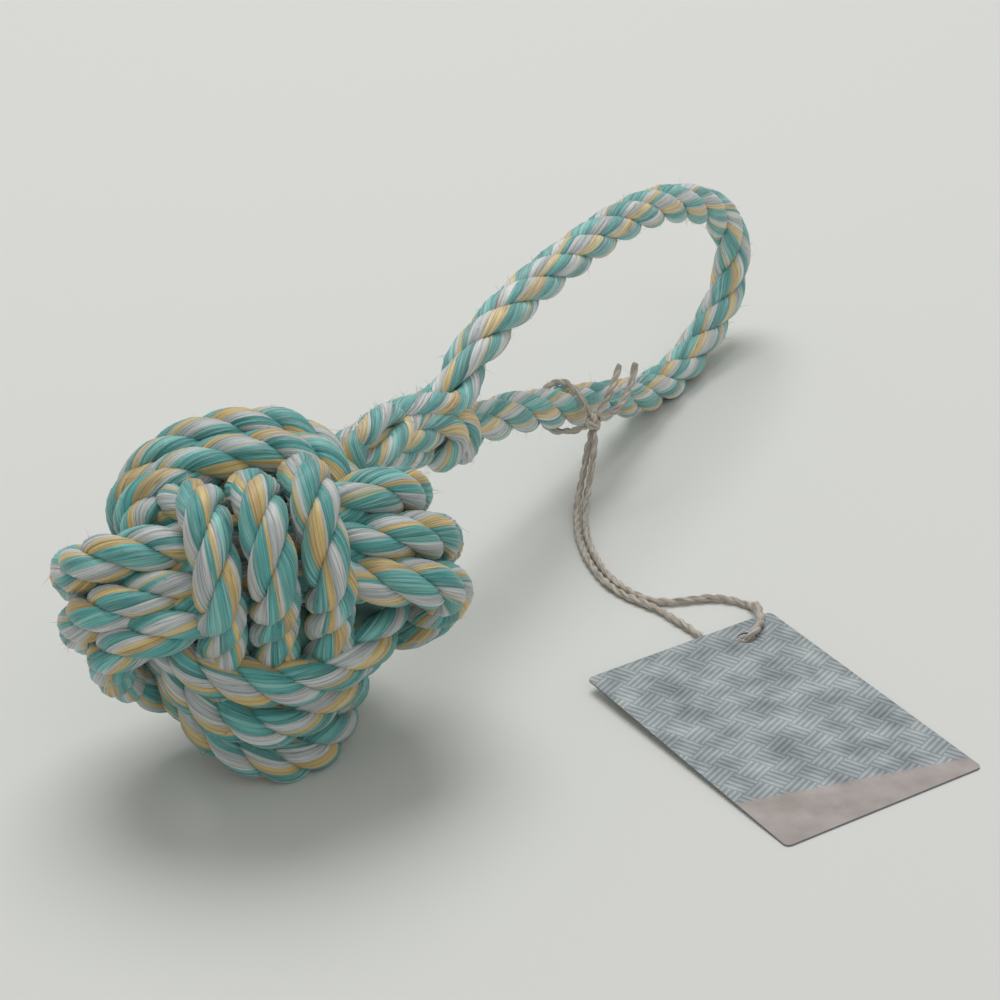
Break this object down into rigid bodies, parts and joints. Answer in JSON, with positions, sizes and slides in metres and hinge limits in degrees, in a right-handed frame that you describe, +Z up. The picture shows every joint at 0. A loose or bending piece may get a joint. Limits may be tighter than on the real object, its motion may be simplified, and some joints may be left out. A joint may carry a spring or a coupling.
{
  "type": "rope dog toy",
  "caption": "Dog tug toy of one thick three-strand rope: a monkey's-fist ball round a core, an eye-spliced neck and a loop handle, with a card tag tied on by doubled twine.",
  "frame": {"origin": "on the floor under the middle of the rope's box, the twine and its tag left out", "axes": "+X from the ball to the handle, along the toy, +Z up"},
  "size_m": [0.3184, 0.2021, 0.0887],
  "materials": {
    "rope": "silky laid rope of teal, pale grey and ochre yarns",
    "strand": "silky strand of teal, pale grey and ochre yarns",
    "core": "plain matt ball",
    "twine": "hairy natural twine",
    "card": "smooth printed card"
  },
  "bodies": {
    "ball": {"fist_winding": "rope", "core_ball": "core"},
    "neck": {"neck_rope": "rope", "splice_root": "rope", "splice_strand_1": "strand", "splice_strand_2": "strand", "splice_strand_3": "strand"},
    "loop": {"handle_loop": "rope"},
    "twine": {"twine_hitch": "twine", "twine_knot": "twine", "twine_tail_1": "twine", "twine_tail_2": "twine", "twine_run_1": "twine", "twine_run_2": "twine"},
    "tag": {"twine_tag_loop": "twine", "tag_card": "card"}
  },
  "joints": [
    {"name": "neck_bend", "type": "hinge", "parent": "ball", "child": "neck", "pos_m": [-0.0574, 0.00042, 0.05829], "axis": [0, 1, 0], "range_deg": [-25, 25], "stiffness_Nm_per_rad": 0.35},
    {"name": "loop_sway", "type": "hinge", "parent": "neck", "child": "loop", "pos_m": [-0.0114, 0.00042, 0.0516], "axis": [0, 0, 1], "range_deg": [-30, 30], "stiffness_Nm_per_rad": 0.3},
    {"name": "tag_swing", "type": "hinge", "parent": "loop", "child": "twine", "pos_m": [0.0362, 0.00042, 0.02575], "axis": [0.9379, 0, -0.347], "range_deg": [-75, 50]},
    {"name": "tag_lift", "type": "hinge", "parent": "twine", "child": "tag", "pos_m": [-0.01694, -0.05098, 0.0012], "axis": [0.9526, -0.3043, 0], "range_deg": [-20, 75]}
  ]
}
